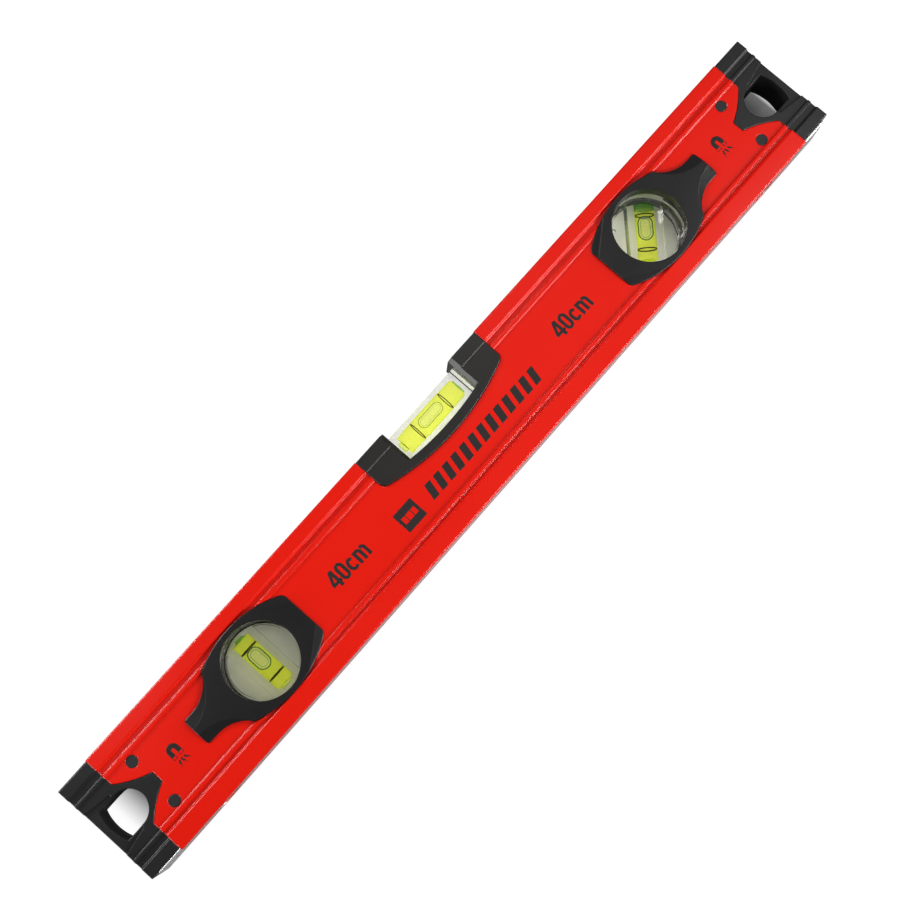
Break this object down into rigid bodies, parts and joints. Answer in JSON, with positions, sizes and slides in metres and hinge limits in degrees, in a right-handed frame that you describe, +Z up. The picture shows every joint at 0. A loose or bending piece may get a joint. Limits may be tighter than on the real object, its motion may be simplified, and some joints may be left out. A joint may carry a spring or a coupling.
{
  "type": "magnetic spirit level",
  "caption": "Box-section magnetic spirit level with a top vial in a notch, round upright and slanted vials in black holders, and end caps with hanging holes.",
  "frame": {"origin": "centre of the milled base face, midway along the level and midway across it", "axes": "+X along the level towards the slanted vial, +Y to the rear face, +Z up from the base to the top vial"},
  "size_m": [0.4, 0.0216, 0.049],
  "materials": {
    "red_coat": "smooth satin red coating; base face milled bare aluminium",
    "cap_black": "fine-grained black moulding",
    "pin_black": "plain black, flush with the web",
    "magnet_metal": "plated",
    "clear_acrylic": "clear, faintly green",
    "vial_liquid": "yellow-green liquid",
    "bubble_air": "gas bubble",
    "ring_black": "plain black",
    "vial_plug": "moulded plug"
  },
  "bodies": {
    "root": {"profile_body": "red_coat", "end_cap_left": "cap_black", "end_cap_right": "cap_black", "cap_pins_left": "pin_black", "cap_pins_right": "pin_black", "magnet_left": "magnet_metal", "magnet_right": "magnet_metal", "top_insert": "cap_black", "top_block": "clear_acrylic", "top_liquid": "vial_liquid", "top_bubble": "bubble_air", "top_rings": "ring_black", "top_plug": "vial_plug", "plumb_bezel_front": "cap_black", "plumb_bezel_rear": "cap_black", "plumb_disc": "clear_acrylic", "plumb_liquid": "vial_liquid", "plumb_bubble": "bubble_air", "plumb_rings": "ring_black", "plumb_plug": "vial_plug", "slant_bezel_front": "cap_black", "slant_bezel_rear": "cap_black", "slant_disc": "clear_acrylic", "slant_liquid": "vial_liquid", "slant_bubble": "bubble_air", "slant_rings": "ring_black", "slant_plug": "vial_plug"}
  },
  "joints": []
}
